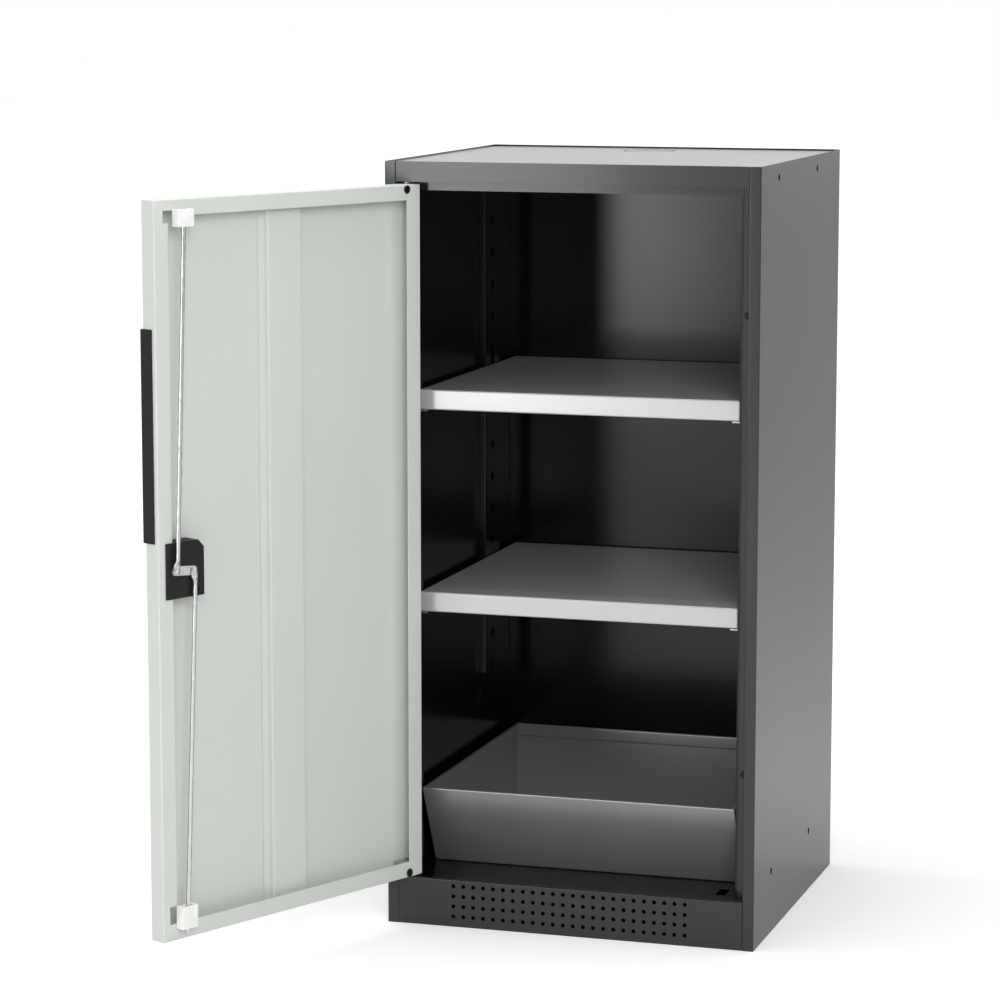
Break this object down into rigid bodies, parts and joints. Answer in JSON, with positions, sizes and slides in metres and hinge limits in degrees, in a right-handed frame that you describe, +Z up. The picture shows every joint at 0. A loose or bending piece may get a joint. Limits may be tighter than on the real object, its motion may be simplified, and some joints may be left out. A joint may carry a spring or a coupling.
{
  "type": "chemical cabinet",
  "caption": "Free-standing half-height steel cabinet for chemicals with a perforated plinth, a wing door with a rod lock, adjustable shelves and a removable bottom sump.",
  "frame": {"origin": "on the floor, in the middle of the plinth's foot flange", "axes": "+Z up, -Y out of the front, +X to the right seen from the front"},
  "size_m": [0.7444, 0.9678, 1.105],
  "materials": {
    "frame_paint": "anthracite powder coat, fine texture",
    "inside_paint": "smooth glossy anthracite coat",
    "door_paint": "light grey powder coat, satin",
    "shelf_paint": "light grey coat, satin",
    "galvanised_steel": "galvanised sheet, semi gloss",
    "zinc_steel": "bright zinc plate",
    "black_plastic": "satin moulded",
    "white_plastic": "satin moulded",
    "zinc_casting": "plain casting",
    "dark_screw": "blackened",
    "black_rubber": "matte"
  },
  "bodies": {
    "cabinet": {"left_side_panel": "frame_paint", "right_side_panel": "frame_paint", "left_inner_wall": "inside_paint", "right_inner_wall": "inside_paint", "left_front_channel": "inside_paint", "right_front_channel": "inside_paint", "left_rear_channel": "inside_paint", "right_rear_channel": "inside_paint", "header_rail": "frame_paint", "plinth_panel": "frame_paint", "floor_panel": "inside_paint", "rear_panel": "inside_paint", "top_panel": "frame_paint", "ceiling_panel": "inside_paint", "exhaust_spigot": "inside_paint", "upper_hinge_pin": "zinc_steel", "lower_hinge_pin": "zinc_steel", "upper_door_buffer": "black_rubber", "lower_door_buffer": "black_rubber", "upper_clip_front_left": "zinc_steel", "upper_clip_front_right": "zinc_steel", "upper_clip_rear_left": "zinc_steel", "upper_clip_rear_right": "zinc_steel", "lower_clip_front_left": "zinc_steel", "lower_clip_front_right": "zinc_steel", "lower_clip_rear_left": "zinc_steel", "lower_clip_rear_right": "zinc_steel"},
    "door": {"door_skin": "door_paint", "door_stiffener": "door_paint", "grip_strip": "black_plastic", "lock_case": "black_plastic", "knob_rosette": "black_plastic", "upper_hinge_block": "zinc_casting", "lower_hinge_block": "zinc_casting", "upper_hinge_screw": "dark_screw", "lower_hinge_screw": "dark_screw", "upper_case_screw": "dark_screw", "lower_case_screw": "dark_screw", "upper_rod_guide": "white_plastic", "lower_rod_guide": "white_plastic"},
    "handle": {"turn_knob": "black_plastic", "lock_cam": "zinc_steel"},
    "key_cylinder": {"lock_cylinder": "zinc_steel"},
    "upper_rod": {"upper_rod": "zinc_steel"},
    "lower_rod": {"lower_rod": "zinc_steel"},
    "upper_shelf": {"shelf_upper": "shelf_paint"},
    "lower_shelf": {"shelf_lower": "shelf_paint"},
    "sump": {"bottom_sump": "galvanised_steel"},
    "exhaust_cover": {"exhaust_cap": "frame_paint"}
  },
  "joints": [
    {"name": "door_swing", "type": "hinge", "parent": "cabinet", "child": "door", "pos_m": [-0.2425, -0.0045, 0.575], "axis": [0, 0, 1], "range_deg": [0, 115]},
    {"name": "handle_turn", "type": "hinge", "parent": "door", "child": "handle", "pos_m": [-0.43373, -0.4146, 0.578], "axis": [-0.9063, 0.4226, 0], "range_deg": [0, 90]},
    {"name": "key_turn", "type": "hinge", "parent": "handle", "child": "key_cylinder", "pos_m": [-0.43373, -0.4146, 0.578], "axis": [-0.9063, 0.4226, 0], "range_deg": [0, 90]},
    {"name": "upper_rod_pivot", "type": "hinge", "parent": "handle", "child": "upper_rod", "pos_m": [-0.44047, -0.42905, 0.57939], "axis": [-0.9063, 0.4226, 0], "range_deg": [-93, 0]},
    {"name": "lower_rod_pivot", "type": "hinge", "parent": "handle", "child": "lower_rod", "pos_m": [-0.427, -0.40016, 0.57661], "axis": [-0.9063, 0.4226, 0], "range_deg": [-93, 0]},
    {"name": "upper_shelf_lift", "type": "slide", "parent": "cabinet", "child": "upper_shelf", "axis": [0, 0, 1], "range_m": [0, 0.02]},
    {"name": "lower_shelf_lift", "type": "slide", "parent": "cabinet", "child": "lower_shelf", "axis": [0, 0, 1], "range_m": [0, 0.02]},
    {"name": "sump_lift", "type": "slide", "parent": "cabinet", "child": "sump", "axis": [0, 0, 1], "range_m": [0, 0.05]},
    {"name": "exhaust_cover_lift", "type": "slide", "parent": "cabinet", "child": "exhaust_cover", "axis": [0, 0, 1], "range_m": [0, 0.03]}
  ],
  "couplings": [
    {"joint": "upper_rod_pivot", "follows": "handle_turn", "ratio": -1.0234},
    {"joint": "lower_rod_pivot", "follows": "handle_turn", "ratio": -1.0232}
  ]
}
